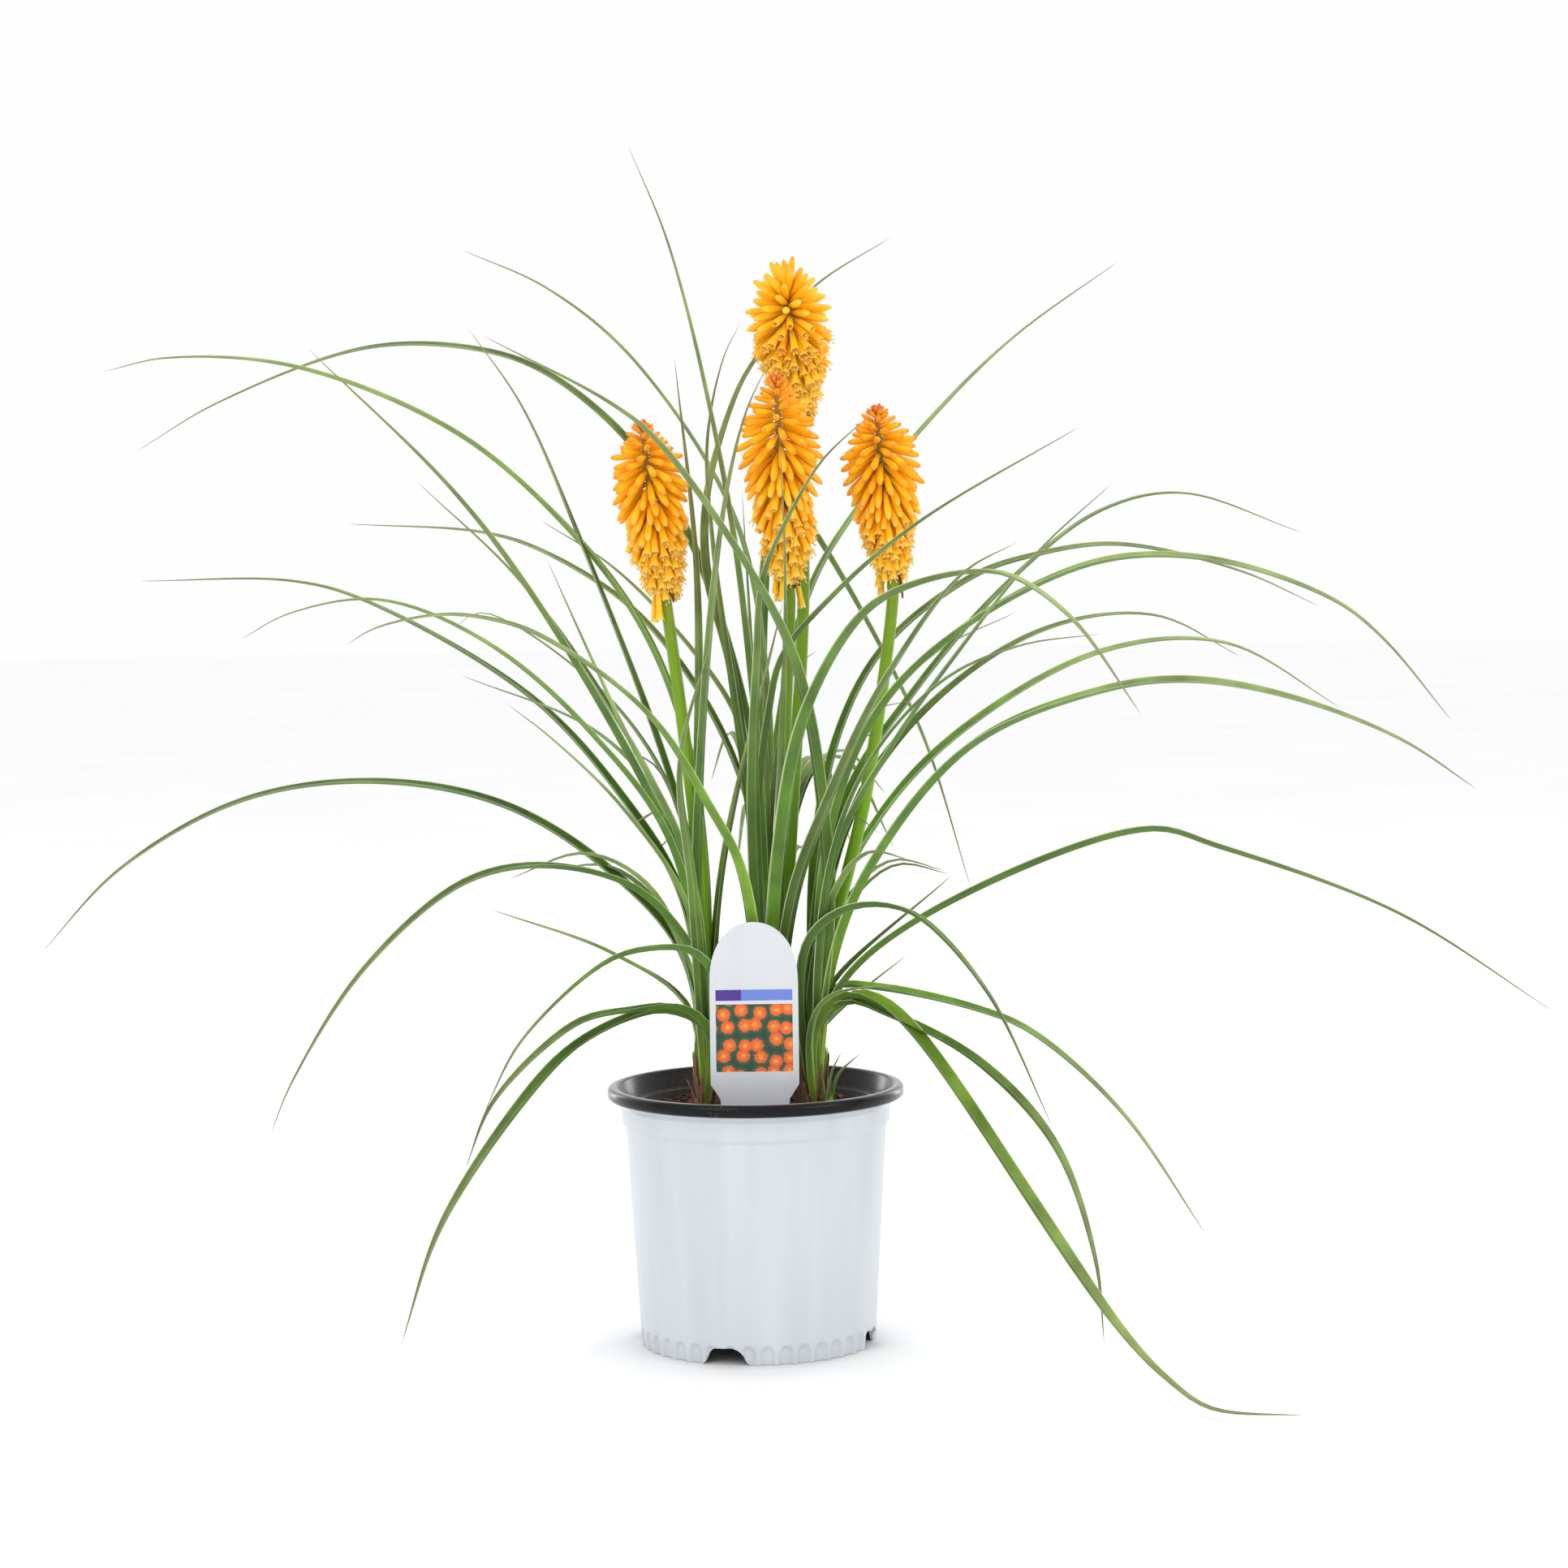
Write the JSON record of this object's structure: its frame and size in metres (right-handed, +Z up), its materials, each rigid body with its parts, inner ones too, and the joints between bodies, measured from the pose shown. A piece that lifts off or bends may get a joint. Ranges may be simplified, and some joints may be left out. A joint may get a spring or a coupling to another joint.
{
  "type": "potted red hot poker",
  "caption": "Red hot poker plant in a fluted nursery pot: grassy arching leaves, upright flower stalks with orange florets, and a plain plant label.",
  "frame": {"origin": "on the floor at the centre of the pot's foot ring", "axes": "+Z up, -Y towards the front of the plant, where its label stands, +X to the right seen from the front"},
  "size_m": [0.8364, 0.4568, 0.6643],
  "materials": {
    "pot_plastic": "satin",
    "soil": "matte",
    "label_plastic": "satin",
    "leaf": "satin",
    "floret": "satin"
  },
  "bodies": {
    "root": {"pot": "pot_plastic", "soil": "soil", "label": "label_plastic", "left_crown": "leaf", "centre_crown": "leaf", "right_crown": "leaf", "young_shoot": "leaf", "flower_head_1": "floret", "flower_head_2": "floret", "flower_head_3": "floret", "flower_head_4": "floret"}
  },
  "joints": []
}
